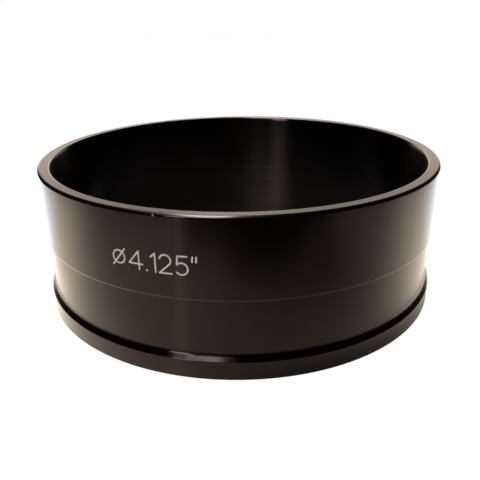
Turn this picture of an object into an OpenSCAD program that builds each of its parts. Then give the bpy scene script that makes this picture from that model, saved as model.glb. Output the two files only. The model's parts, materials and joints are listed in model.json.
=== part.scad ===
// Tapered piston ring compressor: a one-piece turned sleeve, made for one bore size.
// It stands on the cylinder deck on its flange, mouth up. A piston pushed down through the mouth
// has its rings closed by the taper, and they leave through the straight land into the cylinder.
// The origin is on the axis, in the plane of the deck. All sizes are millimetres.

/* [Bore] */
// Diameter of the cylinder bore that the sleeve is made for
bore_d = 104.775; // [70:0.005:130]
// Height of the straight land at the deck end of the bore
land_h = 6; // [3:0.5:12]
// How much wider the taper is at the rim than at the land, on the diameter
taper_gain = 4.4; // [2:0.1:8]
// Radius that rounds the inner edge of the mouth
mouth_r = 0.75; // [0.2:0.05:1]

/* [Wall] */
// Wall at the rim, from the taper to the upper band
rim_wall = 3.4; // [2.5:0.1:6]
// How far the grip band is turned in from the upper band
grip_inset = 0.55; // [0.4:0.05:1.5]
// How far the flange stands out past the upper band
flange_overhang = 0.7; // [0.2:0.1:3]

/* [Heights] */
// Height of the flange's upright face, with the edge break below it
flange_h = 5.1; // [3:0.1:8]
// Height of the chamfer that leads from the flange in to the grip band
chamfer_h = 1.3; // [0.8:0.1:3]
// Height of the grip band, from the chamfer to the shoulder
grip_h = 14.1; // [8:0.1:30]
// Height of the upper band, from the shoulder to the rim
upper_h = 20; // [10:0.1:40]

/* [Edges] */
// Radius on the outer edge of the rim
rim_r = 0.75; // [0.2:0.05:1.2]
// Radius on the edge of the shoulder, held to the depth of the step
shoulder_r = 0.5; // [0.1:0.05:1]
// Break on the lower edge of the flange
deck_break = 0.4; // [0.1:0.05:1]
// Break on the lower edge of the land
land_break = 0.2; // [0.1:0.05:0.5]

/* [Hidden] */

$fn = 180;
finish_color = "#1d1b19";

// Radii, worked outwards from the bore
land_radius = bore_d / 2;
taper_radius = land_radius + taper_gain / 2;
upper_radius = taper_radius + rim_wall;
grip_radius = upper_radius - grip_inset;
flange_radius = upper_radius + flange_overhang;
shoulder_edge_r = min(shoulder_r, grip_inset);

// Heights, worked upwards from the deck
chamfer_top_z = flange_h + chamfer_h;
shoulder_z = chamfer_top_z + grip_h;
rim_z = shoulder_z + upper_h;

// Corners of the turned section, as [radius, height]
shoulder_edge = [upper_radius, shoulder_z];
rim_edge = [upper_radius, rim_z];
mouth_edge = [taper_radius, rim_z];

// Half section of the wall with sharp corners, counter-clockwise from the deck end of the bore
module wall_section() {
    polygon([
        [land_radius + land_break, 0],
        [flange_radius - deck_break, 0],
        [flange_radius, deck_break],
        [flange_radius, flange_h],
        [grip_radius, chamfer_top_z],
        [grip_radius, shoulder_z],
        shoulder_edge,
        rim_edge,
        mouth_edge,
        mouth_edge - [0, mouth_r],
        [land_radius, land_h],
        [land_radius, land_break]
    ]);
}

// What is turned off a square corner to round it: inward gives the signs of the way into the wall
module corner_waste(corner, inward, r) {
    translate(corner + inward * r) difference() {
        translate(-inward * r) square(2 * r, center = true);
        circle(r);
    }
}

// Half section of the wall with its mouth, rim and shoulder rounded
module turned_section() {
    difference() {
        wall_section();
        corner_waste(mouth_edge, [1, -1], mouth_r);
        corner_waste(rim_edge, [-1, -1], rim_r);
        corner_waste(shoulder_edge, [-1, 1], shoulder_edge_r);
    }
}

// The whole tool: mouth, taper, land, upper band, grip band and deck flange in one turned ring
module tapered_sleeve() {
    color(finish_color) rotate_extrude() turned_section();
}

tapered_sleeve();
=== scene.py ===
"""Looks of a tapered piston ring compressor: one turned sleeve in black hard anodise, on a white sweep.

The sleeve is a surface of revolution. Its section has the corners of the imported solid, and every edge that
a lathe tool and the anodising leave soft is rounded. Lengths are metres, and sizes in millimetres say so.
"""

import json
import math

import bpy
import numpy as np
from mathutils import Matrix, Vector


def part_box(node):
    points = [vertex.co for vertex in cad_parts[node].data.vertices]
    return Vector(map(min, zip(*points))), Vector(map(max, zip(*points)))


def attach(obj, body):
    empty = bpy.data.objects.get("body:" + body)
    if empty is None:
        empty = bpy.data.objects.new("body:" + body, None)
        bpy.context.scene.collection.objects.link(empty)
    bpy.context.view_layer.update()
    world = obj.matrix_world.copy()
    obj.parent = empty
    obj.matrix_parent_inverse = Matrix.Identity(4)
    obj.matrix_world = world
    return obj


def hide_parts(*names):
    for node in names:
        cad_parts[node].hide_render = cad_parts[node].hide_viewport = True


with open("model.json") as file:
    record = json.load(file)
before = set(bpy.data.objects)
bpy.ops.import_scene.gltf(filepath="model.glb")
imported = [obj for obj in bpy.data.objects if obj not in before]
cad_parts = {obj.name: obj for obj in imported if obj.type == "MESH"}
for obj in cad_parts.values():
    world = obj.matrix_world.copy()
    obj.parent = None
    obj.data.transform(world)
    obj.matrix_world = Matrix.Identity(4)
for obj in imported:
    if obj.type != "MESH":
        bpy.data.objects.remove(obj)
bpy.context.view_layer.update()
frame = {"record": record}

MM = 0.001

# Steps of the sleeve's section
TAPER_GAIN = 2.2 * MM
GRIP_INSET = 0.55 * MM
FLANGE_OVERHANG = 0.7 * MM
UPPER_HEIGHT = 20.0 * MM
CHAMFER_HEIGHT = 1.3 * MM
DECK_BREAK = 0.4 * MM
LAND_BREAK = 0.2 * MM

# Radii and heights of its corners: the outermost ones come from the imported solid, the bore from its mount
sleeve_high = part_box("tapered_sleeve")[1]
bore_land = next(mount for mount in frame["record"]["mounts"] if mount["name"] == "bore_land")
LAND_RADIUS = bore_land["dims"]["r_mm"] * MM
TAPER_RADIUS = LAND_RADIUS + TAPER_GAIN
FLANGE_RADIUS = sleeve_high.x
UPPER_RADIUS = FLANGE_RADIUS - FLANGE_OVERHANG
GRIP_RADIUS = UPPER_RADIUS - GRIP_INSET
RIM_Z = sleeve_high.z
SHOULDER_Z = RIM_Z - UPPER_HEIGHT
LAND_TOP_Z = 6.0 * MM
FLANGE_TOP_Z = 5.1 * MM
CHAMFER_TOP_Z = FLANGE_TOP_Z + CHAMFER_HEIGHT

# Radii of its edges and roots
RIM_EDGE = 0.75 * MM
SHOULDER_EDGE = 0.38 * MM
MOUTH_EDGE = 0.55 * MM
LEAD_IN_EDGE = 3.0 * MM
FLANGE_EDGE = 0.2 * MM
CHAMFER_ROOT = 1.5 * MM
SHOULDER_ROOT = 0.1 * MM
BREAK_EDGE = 0.12 * MM
TAPER_BLEND = 8.0 * MM

# How far handling has worn its edges, from none to 1
SHOULDER_WEAR = 1.0
RIM_WEAR = 0.65
FLANGE_WEAR = 0.6
DECK_WEAR = 0.5

# Lead-in of the mouth, where the taper opens a little more, and a nick in the outer edge of the rim
LEAD_IN_DEPTH = 0.95 * MM
LEAD_IN_FLARE = 0.285 * MM
NICK_PLACE = Vector((-18.2, -55.0, 40.0)) * MM
NICK_SIZE = 0.34 * MM

# Side of the shoulder that is rubbed most, where the left hand holds the sleeve
LEFT_HAND = Vector((-58, 0, 20.5)) * MM

# Fineness of the turned surface, and how far from each arc a point keeps the flat beside it flat
TURN_STEPS = 400
ARC_STEPS = 9
FLAT_GUARD = 0.03 * MM

# Bore size mark on the upper band: its middle lies below the rim, turned to the left of the front
MARK_HEIGHT = 4.4 * MM
MARK_LINE = 0.42 * MM
MARK_PROUD = 0.02 * MM
MARK_DROP = 11.6 * MM
MARK_Z = RIM_Z - MARK_DROP
MARK_TURN = math.radians(-19.5)

# Fineness of its strokes, whose round ends have their points at these angles in degrees
ROUND_STROKE_POINTS = 25
STRAIGHT_STROKE_POINTS = 9
OVAL_STEPS = 8
STROKE_END_ANGLES = (80, 55, 30, 0)

# Camera, matched to the edges of the rim, shoulder, chamfer and flange in the photo, with its lens and its
# sensor in millimetres
CAMERA_PLACE = Vector((0.0, -160.69, 78.9)) * MM
CAMERA_LENS = 40.25
CAMERA_SENSOR = 36
CAMERA_NEAR = 10 * MM
CAMERA_PITCH = math.radians(22.983)
CAMERA_ROLL = math.radians(-0.737)
CAMERA_YAW = math.radians(0.023)

# Studio: the floor, the colours of its light and what the lamps face
FLOOR_HALF = 2.0
FLOOR_DROP = 0.02 * MM
ROOM_TINT = "#fff0d8"
ROOM_WHITE = "#ffffff"
FRONT_AIM = Vector((0, -58, 20)) * MM
OVERHEAD_AIM = Vector((-232, -58, 40)) * MM
FILL_AIM = Vector((-504, -58, 40)) * MM


def linear(hex_colour):
    """Turns an sRGB hex colour into the linear RGBA that a shader socket takes."""
    srgb = np.array([int(hex_colour[start:start + 2], 16) for start in (1, 3, 5)]) / 255
    toe = srgb / 12.92
    curve = ((srgb + 0.055) / 1.055) ** 2.4
    return (*np.where(srgb <= 0.04045, toe, curve), 1.0)


def fill_inputs(tree, node, inputs):
    """Fills a node's inputs: a node is linked by its output in use, a socket as it is, a value is set."""
    for name, value in inputs.items():
        if isinstance(value, bpy.types.Node):
            value = next(output for output in value.outputs if output.enabled)
        if isinstance(value, bpy.types.NodeSocket):
            tree.links.new(value, node.inputs[name])
        else:
            node.inputs[name].default_value = value


def add_node(tree, kind, inputs=None, **settings):
    """Adds a node with its settings, and fills its inputs."""
    node = tree.nodes.new(kind)
    for name, value in settings.items():
        setattr(node, name, value)
    fill_inputs(tree, node, inputs or {})
    return node


def product_of_steps(tree, steps):
    """Product of smooth steps, each given as what it follows, its start and end, and its level at both."""
    product = 1.0
    for value, first, last, first_level, last_level in steps:
        step = add_node(tree, "ShaderNodeMapRange", {
            "Value": value,
            "From Min": first,
            "From Max": last,
            "To Min": first_level,
            "To Max": last_level,
        }, interpolation_type="SMOOTHSTEP")
        product = add_node(tree, "ShaderNodeMath", {0: product, 1: step}, operation="MULTIPLY")
    return product


def new_material(name):
    """New material, with its node tree."""
    material = bpy.data.materials.new(name)
    material.use_nodes = True
    return material, material.node_tree


def mesh_object(name, points, faces, material):
    """Makes a smooth-shaded mesh object at the origin, with its place in its mesh."""
    mesh = bpy.data.meshes.new(name)
    mesh.from_pydata(points, [], faces)
    mesh.polygons.foreach_set("use_smooth", np.ones(len(mesh.polygons), bool))
    mesh.materials.append(material)
    mesh.update()
    piece = bpy.data.objects.new(name, mesh)
    bpy.context.scene.collection.objects.link(piece)
    return piece


def rounded_outline(corners, radii):
    """Closed outline with every corner rounded.

    An arc of radius r starts r * tan(turn / 2) before its corner, and its centre lies r to the side that
    the outline turns to. One more point on each straight, just clear of the arc, keeps the flats flat.
    """
    step_in = corners - np.roll(corners, 1, axis=0)
    step_in = step_in / np.linalg.norm(step_in, axis=1, keepdims=True)
    step_out = np.roll(step_in, -1, axis=0)
    cross = step_in[:, 0] * step_out[:, 1] - step_in[:, 1] * step_out[:, 0]
    turn = np.arctan2(cross, (step_in * step_out).sum(axis=1))
    setback = (radii * np.tan(np.abs(turn) / 2))[:, None]
    side = np.sign(turn)[:, None]
    start = corners - step_in * setback
    centre = start + side * radii[:, None] * np.stack([-step_in[:, 1], step_in[:, 0]], axis=1)
    spoke = start - centre
    angle = np.arctan2(spoke[:, 1], spoke[:, 0])[:, None] + turn[:, None] * np.linspace(0, 1, ARC_STEPS)
    arc = centre[:, None] + radii[:, None, None] * np.stack([np.cos(angle), np.sin(angle)], axis=2)
    before = (start - step_in * FLAT_GUARD)[:, None]
    after = (corners + step_out * (setback + FLAT_GUARD))[:, None]
    return np.concatenate([before, arc, after], axis=1).reshape(-1, 2)


def turned_surface(outline):
    """Carries a closed (radius, height) outline round the Z axis: x = r cos a, y = r sin a, z = height."""
    angle = np.linspace(0, 2 * np.pi, TURN_STEPS, endpoint=False)[:, None]
    radius, height = outline.T
    points = np.stack([radius * np.cos(angle), radius * np.sin(angle), height + 0 * angle], axis=2)
    index = np.arange(points.shape[0] * points.shape[1]).reshape(points.shape[:2])
    round_next = np.roll(index, -1, axis=0)
    along_next = np.roll(index, -1, axis=1)
    both_next = np.roll(round_next, -1, axis=1)
    faces = np.stack([index, round_next, both_next, along_next], axis=2)
    return points.reshape(-1, 3), faces.reshape(-1, 4)


def lathe_rings(tree, axes, radius):
    """Rings from the lathe tool: noise that is long round the axis and short along height less radius.

    Height less radius grows up the walls and inwards across the flats, so both are ringed alike.
    """
    # The feed of a finishing cut is too fine to show, so the rings are drawn coarser than real ones
    ring_spacing = 0.25 * MM
    ring_run = 30 * MM
    along_cut = add_node(tree, "ShaderNodeMath", {0: axes.outputs["Z"], 1: radius}, operation="SUBTRACT")
    rings_at = add_node(tree, "ShaderNodeCombineXYZ", {
        "X": axes.outputs["X"],
        "Y": axes.outputs["Y"],
        "Z": along_cut,
    })
    rings_in = add_node(tree, "ShaderNodeMapping", {
        "Vector": rings_at,
        "Scale": (1 / ring_run, 1 / ring_run, 1 / ring_spacing),
    })
    return add_node(tree, "ShaderNodeTexNoise", {"Vector": rings_in, "Scale": 1.0, "Detail": 2.0})


def satin_roughness(tree, place, axes, radius, rings):
    """Roughness of the film: satin outside, duller the deeper it lies in the bore, clouded by a fifth."""
    cloud_size = 14 * MM
    outer_roughness = 0.16
    mouth_roughness = 0.165
    bore_foot_roughness = 0.37
    mouth_start = TAPER_RADIUS + 0.1 * MM
    mouth_end = TAPER_RADIUS + 0.75 * MM
    unevenness = 0.2
    # The sum of the two noises lies mostly between these
    patch_low = 0.6
    patch_high = 1.4
    clouds = add_node(tree, "ShaderNodeTexNoise", {"Vector": place, "Scale": 1 / cloud_size, "Detail": 3.0})
    patches = add_node(tree, "ShaderNodeMath", {0: rings, 1: clouds}, operation="ADD")
    bore_roughness = add_node(tree, "ShaderNodeMapRange", {
        "Value": axes.outputs["Z"],
        "From Max": RIM_Z,
        "To Min": bore_foot_roughness,
        "To Max": mouth_roughness,
    })
    wall_roughness = add_node(tree, "ShaderNodeMapRange", {
        "Value": radius,
        "From Min": mouth_start,
        "From Max": mouth_end,
        "To Min": bore_roughness,
        "To Max": outer_roughness,
    })
    spread = add_node(tree, "ShaderNodeMapRange", {
        "Value": patches,
        "From Min": patch_low,
        "From Max": patch_high,
        "To Min": 1 - unevenness,
        "To Max": 1 + unevenness,
    })
    return add_node(tree, "ShaderNodeMath", {0: wall_roughness, 1: spread}, operation="MULTIPLY")


def bare_metal(tree, place, edge):
    """Share of pale metal that shows: specks on the worn edges, thinned film along them, and the nick."""
    speck_size = 0.9 * MM
    speck_share = 0.08
    thinned_share = 0.008
    nick_share = 0.4
    # Wear at which the film starts to thin, and noise times wear at which a speck starts and is full
    thin_start = 0.7
    speck_start = 0.43
    speck_full = 0.47
    specks = add_node(tree, "ShaderNodeTexNoise", {"Vector": place, "Scale": 1 / speck_size, "Detail": 2.0})
    worn_specks = add_node(tree, "ShaderNodeMath", {0: specks, 1: edge}, operation="MULTIPLY")
    speckled = add_node(tree, "ShaderNodeMapRange", {
        "Value": worn_specks,
        "From Min": speck_start,
        "From Max": speck_full,
        "To Max": speck_share,
    })
    thinned = add_node(tree, "ShaderNodeMapRange", {
        "Value": edge,
        "From Min": thin_start,
        "From Max": 1.0,
        "To Max": thinned_share,
    })
    from_nick = add_node(tree, "ShaderNodeVectorMath", {0: place, 1: NICK_PLACE}, operation="DISTANCE")
    nick = add_node(tree, "ShaderNodeMapRange", {
        "Value": from_nick,
        "From Min": NICK_SIZE,
        "From Max": NICK_SIZE / 2,
        "To Max": nick_share,
    })
    rubbed = add_node(tree, "ShaderNodeMath", {0: speckled, 1: thinned}, operation="MAXIMUM")
    return add_node(tree, "ShaderNodeMath", {0: rubbed, 1: nick}, operation="MAXIMUM")


def burnished_edges(tree, place, edge):
    """Share of the worn edges that hands have rubbed bright.

    An edge is rubbed where it faces up, as at the rim, or down, as under the shoulder. Only under the
    shoulder on the left hand's side is it rubbed fully.
    """
    usual_burnish = 0.3
    full_burnish = 1.0
    full_wear = 0.5
    hand_near = 33 * MM
    hand_far = 64 * MM
    # Rise of the normal at which an edge starts to face up or down, and does so fully
    up_start = 0.5
    up_full = 0.58
    down_start = 0.0
    down_full = -0.03
    normal = add_node(tree, "ShaderNodeNewGeometry").outputs["Normal"]
    rise = add_node(tree, "ShaderNodeSeparateXYZ", {"Vector": normal}).outputs["Z"]
    upward = add_node(tree, "ShaderNodeMapRange", {
        "Value": rise,
        "From Min": up_start,
        "From Max": up_full,
    })
    downward = add_node(tree, "ShaderNodeMapRange", {
        "Value": rise,
        "From Min": down_start,
        "From Max": down_full,
    })
    handled = add_node(tree, "ShaderNodeMath", {0: upward, 1: downward}, operation="MAXIMUM")
    handled_edge = add_node(tree, "ShaderNodeMath", {0: edge, 1: handled}, operation="MULTIPLY")
    from_hand = add_node(tree, "ShaderNodeVectorMath", {0: place, 1: LEFT_HAND}, operation="DISTANCE")
    under_hand = add_node(tree, "ShaderNodeMapRange", {
        "Value": from_hand,
        "From Min": hand_near,
        "From Max": hand_far,
        "To Min": downward,
        "To Max": 0.0,
    })
    most = add_node(tree, "ShaderNodeMapRange", {
        "Value": under_hand,
        "To Min": usual_burnish,
        "To Max": full_burnish,
    })
    return add_node(tree, "ShaderNodeMapRange", {
        "Value": handled_edge,
        "From Max": full_wear,
        "To Max": most,
    })


def black_hard_anodise():
    """Turned aluminium in black hard anodise, sealed and satin.

    The eye sees a near-black surface with a faint brown cast in its reflections, fine rings from the lathe
    tool that draw lamps out along the axis, and a duller bore. Edges that were handled are burnished, for
    which a clear coat stands, and carry pale specks. Bare metal shows in the nick.
    """
    material, tree = new_material("black_hard_anodise")
    place = add_node(tree, "ShaderNodeTexCoord").outputs["Object"]
    axes = add_node(tree, "ShaderNodeSeparateXYZ", {"Vector": place})
    level = add_node(tree, "ShaderNodeVectorMath", {0: place, 1: (1, 1, 0)}, operation="MULTIPLY")
    radius = add_node(tree, "ShaderNodeVectorMath", {0: level}, operation="LENGTH")
    edge = add_node(tree, "ShaderNodeAttribute", attribute_name="edge_wear").outputs["Fac"]
    rings = lathe_rings(tree, axes, radius)
    colour = add_node(tree, "ShaderNodeMix", {
        "Factor": bare_metal(tree, place, edge),
        "A": linear("#020202"),
        "B": linear("#a8a39b"),
    }, data_type="RGBA")
    ring_depth = 0.004 * MM
    relief = add_node(tree, "ShaderNodeBump", {"Height": rings, "Strength": 0.12, "Distance": ring_depth})
    around_axis = add_node(tree, "ShaderNodeTangent", direction_type="RADIAL", axis="Z")
    fill_inputs(tree, tree.nodes["Principled BSDF"], {
        "Base Color": colour,
        "Roughness": satin_roughness(tree, place, axes, radius, rings),
        "IOR": 1.4,
        "Specular Tint": linear("#ffe1de"),
        "Anisotropic": 1.0,
        "Anisotropic Rotation": 0.25,
        "Tangent": around_axis,
        "Normal": relief,
        "Coat Weight": burnished_edges(tree, place, edge),
        "Coat Roughness": 0.22,
        "Coat IOR": 2.0,
    })
    return material


def etched_anodise():
    """Anodise bleached by a marking laser: dry, pale grey and a little uneven, with no gloss."""
    grain_size = 0.25 * MM
    material, tree = new_material("laser_etched_anodise")
    place = add_node(tree, "ShaderNodeTexCoord").outputs["Object"]
    grain = add_node(tree, "ShaderNodeTexNoise", {"Vector": place, "Scale": 1 / grain_size, "Detail": 2.0})
    colour = add_node(tree, "ShaderNodeMix", {
        "Factor": grain,
        "A": linear("#9c958b"),
        "B": linear("#d8d2c8"),
    }, data_type="RGBA")
    fill_inputs(tree, tree.nodes["Principled BSDF"], {"Base Color": colour, "Roughness": 0.8, "IOR": 1.4})
    return material


def tapered_sleeve(material):
    """The whole tool: land, flange, chamfer, grip band, shoulder, upper band, rim and tapered mouth.

    Its section is carried round the axis. Wear is highest in the middle of each arc, as the sine along it.
    """
    taper_slope = (TAPER_RADIUS - LAND_RADIUS) / (RIM_Z - LAND_TOP_Z)
    # Corners as radius, height, edge radius and wear, counter-clockwise from the deck end of the bore
    section = [
        (LAND_RADIUS + LAND_BREAK, 0, BREAK_EDGE, 0),
        (FLANGE_RADIUS - DECK_BREAK, 0, BREAK_EDGE, 0),
        (FLANGE_RADIUS, DECK_BREAK, BREAK_EDGE, DECK_WEAR),
        (FLANGE_RADIUS, FLANGE_TOP_Z, FLANGE_EDGE, FLANGE_WEAR),
        (GRIP_RADIUS, CHAMFER_TOP_Z, CHAMFER_ROOT, 0),
        (GRIP_RADIUS, SHOULDER_Z, SHOULDER_ROOT, 0),
        (UPPER_RADIUS, SHOULDER_Z, SHOULDER_EDGE, SHOULDER_WEAR),
        (UPPER_RADIUS, RIM_Z, RIM_EDGE, RIM_WEAR),
        (TAPER_RADIUS + LEAD_IN_FLARE, RIM_Z, MOUTH_EDGE, RIM_WEAR),
        (TAPER_RADIUS - LEAD_IN_DEPTH * taper_slope, RIM_Z - LEAD_IN_DEPTH, LEAD_IN_EDGE, 0),
        (LAND_RADIUS, LAND_TOP_Z, TAPER_BLEND, 0),
        (LAND_RADIUS, LAND_BREAK, BREAK_EDGE, 0),
    ]
    radius, height, edge_radius, wear = np.array(section).T
    outline = rounded_outline(np.stack([radius, height], axis=1), edge_radius)
    piece = mesh_object("turned_sleeve", *turned_surface(outline), material)
    arc_share = np.sin(np.linspace(0, np.pi, ARC_STEPS))
    edge_share = np.concatenate([[0], arc_share, [0]])
    edge_wear = np.tile((wear[:, None] * edge_share).ravel(), TURN_STEPS)
    attribute = piece.data.attributes.new("edge_wear", "FLOAT", "POINT")
    attribute.data.foreach_set("value", edge_wear.astype(np.float32))
    return piece


def arc_line(centre, radius, first, last):
    """Points on an arc, from the first to the last angle in degrees."""
    angle = np.radians(np.linspace(first, last, ROUND_STROKE_POINTS))
    return np.stack([centre[0] + radius * np.cos(angle), centre[1] + radius * np.sin(angle)], axis=1)


def straight_line(start, end):
    """Points on a straight line, close enough to bend round the band."""
    share = np.linspace(0, 1, STRAIGHT_STROKE_POINTS)[:, None]
    return np.array(start) * (1 - share) + np.array(end) * share


def figure_strokes():
    """Strokes of the bore size: a diameter sign, 4.125 and an inch mark, on figures one unit high."""
    gap = 0.2
    half_height = 0.5
    diameter_sign = (0.86, [
        arc_line((0.43, 0.5), 0.36, 0, 360),
        straight_line((0.04, 0.02), (0.82, 0.98)),
    ])
    four = (0.78, [
        straight_line((0.58, 0), (0.58, 1)),
        straight_line((0.58, 1), (0, 0.3)),
        straight_line((0, 0.3), (0.78, 0.3)),
    ])
    point = (0.08, [straight_line((0.04, 0), (0.04, 0.05))])
    one = (0.26, [
        straight_line((0.24, 0), (0.24, 1)),
        straight_line((0.24, 1), (0, 0.8)),
    ])
    two = (0.66, [
        arc_line((0.32, 0.7), 0.3, 165, -38),
        straight_line((0.556, 0.515), (0, 0)),
        straight_line((0, 0), (0.66, 0)),
    ])
    five = (0.64, [
        straight_line((0.6, 1), (0.12, 1)),
        straight_line((0.12, 1), (0.07, 0.54)),
        arc_line((0.31, 0.32), 0.32, 137, -140),
    ])
    inch_mark = (0.24, [
        straight_line((0.04, 1), (0.02, 0.74)),
        straight_line((0.24, 1), (0.22, 0.74)),
    ])
    figures = [diameter_sign, four, point, one, two, five, inch_mark]
    wide = np.array([width + gap for width, _ in figures])
    starts = np.cumsum(wide) - wide - (wide.sum() - gap) / 2
    return [line + (start, -half_height) for start, (_, lines) in zip(starts, figures) for line in lines]


def etched_line(path):
    """One line of the mark, bent round the upper band.

    A flat oval is carried along the path: its half width lies across the path on the band, its half height
    stands off the band, and both shrink on a quarter circle over the round ends.
    """
    end_turn = np.radians(STROKE_END_ANGLES)
    way = np.gradient(path, axis=0)
    way = way / np.linalg.norm(way, axis=1, keepdims=True)
    first = path[0] - way[0] * np.sin(end_turn)[:, None] * MARK_LINE / 2
    last = path[-1] + way[-1] * np.sin(end_turn[::-1])[:, None] * MARK_LINE / 2
    middle = np.concatenate([first, path[1:-1], last])
    share = np.concatenate([np.cos(end_turn), np.ones(len(path) - 2), np.cos(end_turn[::-1])])[:, None]
    first_way = np.repeat(way[:1], len(end_turn), axis=0)
    last_way = np.repeat(way[-1:], len(end_turn), axis=0)
    heading = np.concatenate([first_way, way[1:-1], last_way])
    oval = np.linspace(0, 2 * np.pi, OVAL_STEPS, endpoint=False)
    across = share * np.cos(oval) * MARK_LINE / 2
    along_band = middle[:, :1] - heading[:, 1:] * across
    height = MARK_Z + middle[:, 1:] + heading[:, :1] * across
    stand_off = UPPER_RADIUS + share * np.sin(oval) * MARK_PROUD
    angle = MARK_TURN + along_band / UPPER_RADIUS
    points = np.stack([stand_off * np.sin(angle), -stand_off * np.cos(angle), height], axis=2)
    index = np.arange(points.shape[0] * points.shape[1]).reshape(points.shape[:2])
    turned = np.roll(index, -1, axis=1)
    sides = np.stack([index[:-1], index[1:], turned[1:], turned[:-1]], axis=2).reshape(-1, 4)
    return points.reshape(-1, 3), [*sides.tolist(), index[0].tolist(), index[-1, ::-1].tolist()]


def bore_size_mark(material):
    """The bore size, etched on the upper band as plain figures."""
    points, faces, count = [], [], 0
    for path in figure_strokes():
        line_points, line_faces = etched_line(path * MARK_HEIGHT)
        points.append(line_points)
        faces += [[corner + count for corner in face] for face in line_faces]
        count += len(line_points)
    return mesh_object("bore_size_mark", np.concatenate(points), faces, material)


def floor_around(tree, place, across, depth, reach):
    """Glow of the floor round the sleeve: a product of smooth steps.

    It is bright beside and behind the sleeve, brightest on the left, and darker towards the front, with a
    dark spot in front and one on the right. A narrow bright ray crosses it. In front, the lit floor ends at
    an edge, except on the left.
    """
    front_spot = Vector((24, -161, 0)) * MM
    right_spot = Vector((65, -102, 0)) * MM
    ray_turn = math.radians(32)
    across_ray = (math.cos(ray_turn), -math.sin(ray_turn), 0)
    from_front = add_node(tree, "ShaderNodeVectorMath", {0: place, 1: front_spot}, operation="DISTANCE")
    from_right = add_node(tree, "ShaderNodeVectorMath", {0: place, 1: right_spot}, operation="DISTANCE")
    ray_side = add_node(tree, "ShaderNodeVectorMath", {0: place, 1: across_ray}, operation="DOT_PRODUCT")
    glow = product_of_steps(tree, [
        # Both sides of the ray
        (ray_side, 11 * MM, 17 * MM, 1.0, 1.35),
        (ray_side, 17 * MM, 23 * MM, 1.0, 0.74),
        # Front to back, then the left and the right
        (depth, -69 * MM, -14 * MM, 0.654, 1.377),
        (across, -54 * MM, 22 * MM, 1.725, 1.0),
        (across, 6 * MM, 87 * MM, 1.0, 1.486),
        # Dark spots
        (from_front, 47 * MM, 61 * MM, 0.0, 1.0),
        (from_right, -26 * MM, 72 * MM, 0.0, 1.0),
        # Outer end of the light, and the shade where the flange stands
        (reach, 161 * MM, 201 * MM, 1.0, 0.0),
        (reach, 58.3 * MM, 59.2 * MM, 0.2, 1.0),
    ])
    front_edge = product_of_steps(tree, [(depth, -130 * MM, -122 * MM, 0.0, 1.0)])
    left_end = product_of_steps(tree, [(across, -52 * MM, -70 * MM, 0.0, 1.0)])
    front_light = add_node(tree, "ShaderNodeMath", {0: front_edge, 1: left_end}, operation="MAXIMUM")
    return add_node(tree, "ShaderNodeMath", {0: glow, 1: front_light}, operation="MULTIPLY")


def floor_in_bore(tree, place, depth, reach):
    """Glow of the floor in the bore: a pool of light behind the middle, and a lit foot at the far wall."""
    pool_middle = Vector((14, 23, 0)) * MM
    pool_level = 0.85
    bore_level = 0.015
    foot_level = 0.5
    from_pool = add_node(tree, "ShaderNodeVectorMath", {0: place, 1: pool_middle}, operation="DISTANCE")
    pool = product_of_steps(tree, [(from_pool, 4 * MM, 33 * MM, pool_level, bore_level)])
    far_foot = product_of_steps(tree, [
        (reach, 44 * MM, 51 * MM, 0.0, 1.0),
        (depth, 28 * MM, 47 * MM, 0.0, foot_level),
    ])
    return add_node(tree, "ShaderNodeMath", {0: pool, 1: far_foot}, operation="MAXIMUM")


def right_shade(tree, across, reach):
    """Share of light left by the shade on the right, which covers the bore and the floor round the foot."""
    shade_level = 0.64
    shade = product_of_steps(tree, [
        (across, -20 * MM, 25 * MM, 0.0, shade_level),
        (reach, 60 * MM, 67 * MM, 1.0, 0.0),
    ])
    return add_node(tree, "ShaderNodeMath", {0: 1.0, 1: shade}, operation="SUBTRACT")


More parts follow.
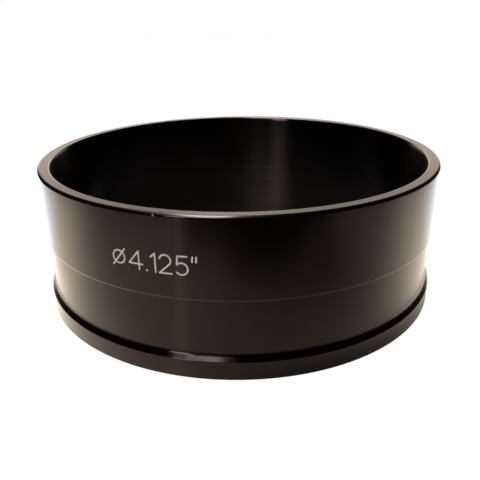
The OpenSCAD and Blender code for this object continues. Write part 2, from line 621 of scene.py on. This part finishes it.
def white_sweep():
    """White studio floor: plain white to the camera, and light and shade for the metal to mirror.

    What the upright walls show is this floor, so its glow differs in the bore, round the sleeve and in the
    shade on the right. The light has the warm tint of the room, and turns white behind the sleeve. To the
    camera, a small share of the floor is paint, which keeps the sleeve's shadow.
    """
    kept_shadow = 0.05
    # A little over 1, which makes up for the share of the paint
    camera_white = 1.035
    # Under the wall, the glow of the bore gives way to that round the sleeve
    bore_end = 51.5 * MM
    around_start = 56 * MM
    # Behind the middle of the sleeve, the tint of the light fades out by here
    white_from = 35 * MM
    material, tree = new_material("white_sweep")
    tree.nodes.remove(tree.nodes["Principled BSDF"])
    place = add_node(tree, "ShaderNodeTexCoord").outputs["Object"]
    axes = add_node(tree, "ShaderNodeSeparateXYZ", {"Vector": place})
    across = axes.outputs["X"]
    depth = axes.outputs["Y"]
    reach = add_node(tree, "ShaderNodeVectorMath", {0: place}, operation="LENGTH")
    all_round = add_node(tree, "ShaderNodeMapRange", {
        "Value": reach,
        "From Min": bore_end,
        "From Max": around_start,
        "To Min": floor_in_bore(tree, place, depth, reach),
        "To Max": floor_around(tree, place, across, depth, reach),
    })
    shade = right_shade(tree, across, reach)
    glow = add_node(tree, "ShaderNodeMath", {0: all_round, 1: shade}, operation="MULTIPLY")
    ray = add_node(tree, "ShaderNodeLightPath")
    on_camera = ray.outputs["Is Camera Ray"]
    mirrored = add_node(tree, "ShaderNodeMath", {
        0: ray.outputs["Is Glossy Ray"],
        1: ray.outputs["Is Transmission Ray"],
    }, operation="MAXIMUM")
    shown = add_node(tree, "ShaderNodeMath", {0: on_camera, 1: 1 - kept_shadow}, operation="MULTIPLY")
    share = add_node(tree, "ShaderNodeMath", {0: shown, 1: mirrored}, operation="MAXIMUM")
    strength = add_node(tree, "ShaderNodeMix", {"Factor": on_camera, "A": glow, "B": camera_white})
    whiteness = product_of_steps(tree, [(depth, 0.0, white_from, on_camera, 1.0)])
    tint = add_node(tree, "ShaderNodeMix", {
        "Factor": whiteness,
        "A": linear(ROOM_TINT),
        "B": linear(ROOM_WHITE),
    }, data_type="RGBA")
    paint = add_node(tree, "ShaderNodeBsdfDiffuse", {"Color": linear("#f4f4f4")})
    light = add_node(tree, "ShaderNodeEmission", {"Color": tint, "Strength": strength})
    both = add_node(tree, "ShaderNodeMixShader", {0: share, 1: paint, 2: light})
    fill_inputs(tree, tree.nodes["Material Output"], {"Surface": both})
    square = [(-1, -1), (1, -1), (1, 1), (-1, 1)]
    corners = [(x * FLOOR_HALF, y * FLOOR_HALF, -FLOOR_DROP) for x, y in square]
    mesh_object("white_sweep", corners, [(0, 1, 2, 3)], material)


def studio_world():
    """White room to the camera. As light, it is a bright wall behind the sleeve, under a dark ceiling.

    The wall ends in the dark front of the room, and a strip near its middle is brighter than its sides.
    """
    dark_level = 0.02
    wall_level = 1.5
    world = bpy.data.worlds.new("studio")
    bpy.context.scene.world = world
    world.use_nodes = True
    tree = world.node_tree
    way = add_node(tree, "ShaderNodeTexCoord").outputs["Generated"]
    axes = add_node(tree, "ShaderNodeSeparateXYZ", {"Vector": way})
    glow = product_of_steps(tree, [
        # Dark front to bright wall, wall to dark ceiling, then the two sides of the strip
        (axes.outputs["Y"], 0.78, 0.9, dark_level, wall_level),
        (axes.outputs["Z"], 0.42, 0.85, 1.0, dark_level),
        (axes.outputs["X"], -0.15, -0.03, 1.0, 1.45),
        (axes.outputs["X"], -0.02, 0.18, 1.0, 0.65),
    ])
    on_camera = add_node(tree, "ShaderNodeLightPath").outputs["Is Camera Ray"]
    strength = add_node(tree, "ShaderNodeMix", {"Factor": on_camera, "A": glow, "B": 1.0})
    tint = add_node(tree, "ShaderNodeMix", {
        "Factor": on_camera,
        "A": linear(ROOM_TINT),
        "B": linear(ROOM_WHITE),
    }, data_type="RGBA")
    fill_inputs(tree, tree.nodes["Background"], {"Color": tint, "Strength": strength})


def soft_lamp(name, aim, turn, rise, reach, wide, tall, radiance):
    """Soft rectangular lamp of even radiance, which faces its aim with its tall side in the upright plane.

    Seen from the aim, it stands at an angle of turn to the right of the front and of rise above the level,
    as far away as its reach.
    """
    side, up = math.radians(turn), math.radians(rise)
    way = Vector((math.sin(side) * math.cos(up), -math.cos(side) * math.cos(up), math.sin(up)))
    lamp = bpy.data.lights.new(name, "AREA")
    lamp.shape = "RECTANGLE"
    lamp.size = wide
    lamp.size_y = tall
    lamp.energy = radiance * math.pi * wide * tall
    holder = bpy.data.objects.new(name, lamp)
    holder.location = aim + way * reach
    holder.rotation_euler = way.to_track_quat("Z", "Y").to_euler()
    holder.visible_camera = False
    bpy.context.scene.collection.objects.link(holder)


def photo_camera():
    """Camera of the photo: it looks along +Y and down by its pitch, and is rolled a little."""
    level = math.cos(CAMERA_PITCH)
    ahead = Vector((math.sin(CAMERA_YAW) * level, math.cos(CAMERA_YAW) * level, -math.sin(CAMERA_PITCH)))
    right = ahead.cross(Vector((0, 0, 1))).normalized()
    above = right.cross(ahead)
    rolled_right = right * math.cos(CAMERA_ROLL) + above * math.sin(CAMERA_ROLL)
    rolled_above = rolled_right.cross(ahead)
    lens = bpy.data.cameras.new("photo_camera")
    lens.lens = CAMERA_LENS
    lens.sensor_width = CAMERA_SENSOR
    lens.clip_start = CAMERA_NEAR
    holder = bpy.data.objects.new("photo_camera", lens)
    turned = Matrix((rolled_right, rolled_above, -ahead)).transposed()
    holder.matrix_world = Matrix.Translation(CAMERA_PLACE) @ turned.to_4x4()
    bpy.context.scene.collection.objects.link(holder)
    bpy.context.scene.camera = holder


bpy.context.scene.view_settings.view_transform = "Standard"
photo_camera()
studio_world()
soft_lamp("front_softbox", FRONT_AIM, turn=-28.7, rise=60, reach=0.5, wide=0.138, tall=0.21, radiance=9.0)
soft_lamp("front_strip", FRONT_AIM, turn=-37, rise=32, reach=0.5, wide=0.085, tall=0.16, radiance=9.6)
soft_lamp("overhead_strip", OVERHEAD_AIM, turn=174, rise=76, reach=1.2, wide=0.305, tall=1.2, radiance=11.0)
soft_lamp("overhead_fill", FILL_AIM, turn=174, rise=76, reach=1.2, wide=0.24, tall=1.2, radiance=0.6)
white_sweep()

sleeve = tapered_sleeve(black_hard_anodise())
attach(sleeve, "root")
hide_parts("tapered_sleeve")

size_mark = bore_size_mark(etched_anodise())
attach(size_mark, "root")
